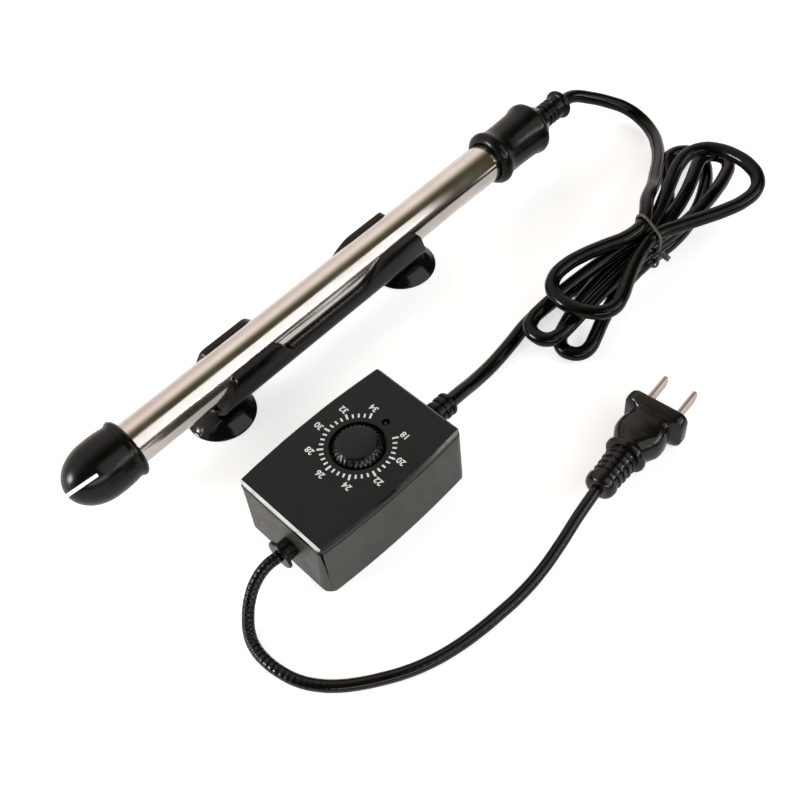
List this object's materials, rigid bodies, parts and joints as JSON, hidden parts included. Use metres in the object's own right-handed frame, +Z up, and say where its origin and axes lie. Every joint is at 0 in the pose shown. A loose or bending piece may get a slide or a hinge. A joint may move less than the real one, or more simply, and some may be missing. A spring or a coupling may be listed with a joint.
{
  "type": "submersible aquarium heater",
  "caption": "Steel submersible aquarium heater in a clip holder on suction cups, wired through a tied hank of lead to an external dial controller with a mains plug.",
  "frame": {"origin": "on the resting surface, at the centre of the box round the heater, its holder and the controller", "axes": "+X along the heater from its nose to its cord gland, -Y towards the controller, +Z up"},
  "size_m": [0.3165, 0.1634, 0.0335],
  "materials": {
    "sheath_steel": "polished stainless steel",
    "cap_rubber": "satin moulded rubber",
    "holder_plastic": "satin black plastic",
    "cup_rubber": "smooth soft rubber",
    "box_plastic": "fine-grained dark grey plastic",
    "cover_plastic": "smooth black plastic with a bright edge",
    "dial_plastic": "satin black knob",
    "lead_pvc": "smooth black jacket",
    "plug_pvc": "smooth black moulded plug",
    "blade_metal": "plated brass blades",
    "tie_wire": "thin grey wire",
    "ceramic": "fired ceramic",
    "heating_alloy": "oxidised resistance wire",
    "core_lead_sleeve": "woven glass sleeve",
    "cutout_case": "plated case",
    "sensor_resin": "resin bead",
    "seal_silicone": "translucent silicone",
    "shaft_metal": "turned shaft",
    "pot_case": "moulded case",
    "board": "fibreglass board",
    "relay_case": "moulded case",
    "capacitor_case": "resin case",
    "chip_case": "moulded package",
    "fuse_tube": "ceramic tube with caps",
    "led_lens": "tinted lens",
    "screw_zinc": "zinc plated"
  },
  "bodies": {
    "heater_and_controller": {"steel_sheath": "sheath_steel", "bottom_cap": "cap_rubber", "top_cap": "cap_rubber", "cord_gland": "lead_pvc", "ceramic_core": "ceramic", "resistance_wire": "heating_alloy", "core_spacers": "ceramic", "inner_leads": "core_lead_sleeve", "thermal_cutout": "cutout_case", "temperature_sensor": "sensor_resin", "tube_seal": "seal_silicone", "box_base": "box_plastic", "box_cover": "cover_plastic", "potentiometer": "pot_case", "circuit_board": "board", "power_relay": "relay_case", "dropper_capacitor": "capacitor_case", "control_chip": "chip_case", "line_fuse": "fuse_tube", "indicator_led": "led_lens", "case_screws": "screw_zinc", "heater_lead_gland": "lead_pvc", "mains_lead_gland": "lead_pvc", "heater_lead": "lead_pvc", "lead_hank": "lead_pvc", "hank_tie": "tie_wire", "box_lead": "lead_pvc", "mains_lead": "lead_pvc", "plug_strain_relief": "plug_pvc", "plug_body": "plug_pvc", "plug_blades": "blade_metal"},
    "holder": {"clip_holder": "holder_plastic"},
    "lower_cup": {"lower_suction_cup": "cup_rubber"},
    "upper_cup": {"upper_suction_cup": "cup_rubber"},
    "dial": {"temperature_dial": "dial_plastic", "dial_shaft": "shaft_metal"}
  },
  "joints": [
    {"name": "holder_slide", "type": "slide", "parent": "heater_and_controller", "child": "holder", "axis": [1, 0, 0], "range_m": [-0.033, 0.048]},
    {"name": "lower_cup_spin", "type": "hinge", "parent": "holder", "child": "lower_cup", "pos_m": [-0.0732, 0.04075, 0.005], "axis": [0, 0, 1], "continuous": true},
    {"name": "upper_cup_spin", "type": "hinge", "parent": "holder", "child": "upper_cup", "pos_m": [0.0332, 0.04075, 0.005], "axis": [0, 0, 1], "continuous": true},
    {"name": "dial_turn", "type": "hinge", "parent": "heater_and_controller", "child": "dial", "pos_m": [-0.06048, -0.02997, 0.0262], "axis": [0, 0, 1], "range_deg": [-150, 150]}
  ]
}
